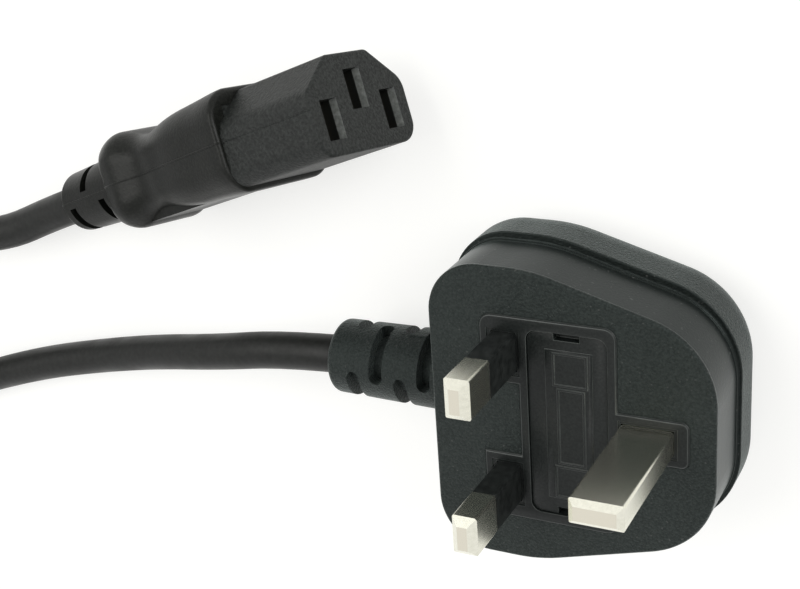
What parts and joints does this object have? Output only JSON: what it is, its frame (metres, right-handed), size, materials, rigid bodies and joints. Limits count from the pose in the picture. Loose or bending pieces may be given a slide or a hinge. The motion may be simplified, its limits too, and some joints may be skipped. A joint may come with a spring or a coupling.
{
  "type": "uk three pin plug",
  "caption": "Moulded black mains plug with rectangular pins, a fused drawer in its face and a slotted strain relief, on a flexible lead that ends in an appliance connector.",
  "frame": {"origin": "below the middle of the plug's own box, on the surface that its back lies on", "axes": "+X towards the earth pin and away from the cord, +Y towards the live pin, +Z the way the pins point"},
  "size_m": [0.2678, 0.1044, 0.0477],
  "materials": {
    "soft_plastic": "fine sand-blasted grain",
    "hard_plastic": "fine spark-eroded grain",
    "sleeve_plastic": "smooth satin",
    "plated_brass": "bright nickel plate over brass",
    "spring_brass": "bright rolled sheet",
    "ceramic": "glazed ceramic",
    "cord_sheath": "satin flexible PVC",
    "live_insulation": "smooth brown PVC",
    "neutral_insulation": "smooth blue PVC",
    "earth_insulation": "smooth green and yellow PVC"
  },
  "bodies": {
    "plug": {"plug_body": "soft_plastic", "pin_carrier": "hard_plastic", "earth_pin": "plated_brass", "live_pin": "plated_brass", "neutral_pin": "plated_brass", "live_pin_sleeve": "sleeve_plastic", "neutral_pin_sleeve": "sleeve_plastic", "fuse_clip_pin_end": "spring_brass", "fuse_clip_cord_end": "spring_brass", "neutral_terminal": "spring_brass", "earth_terminal": "spring_brass", "live_core": "live_insulation", "neutral_core": "neutral_insulation", "earth_core": "earth_insulation", "plug_cord_tail": "cord_sheath", "plug_cord": "cord_sheath", "cord_coil": "cord_sheath", "connector_cord": "cord_sheath", "connector_cord_tail": "cord_sheath", "connector_grip": "soft_plastic", "connector_insert": "hard_plastic", "connector_live_contact": "spring_brass", "connector_earth_contact": "spring_brass", "connector_neutral_contact": "spring_brass", "connector_live_core": "live_insulation", "connector_earth_core": "earth_insulation", "connector_neutral_core": "neutral_insulation"},
    "fuse_drawer": {"fuse_carrier": "hard_plastic", "fuse_barrel": "ceramic", "fuse_cap_pin_end": "plated_brass", "fuse_cap_cord_end": "plated_brass"}
  },
  "joints": [
    {"name": "fuse_drawer_slide", "type": "slide", "parent": "plug", "child": "fuse_drawer", "axis": [0, 0, 1], "range_m": [0, 0.014]}
  ]
}
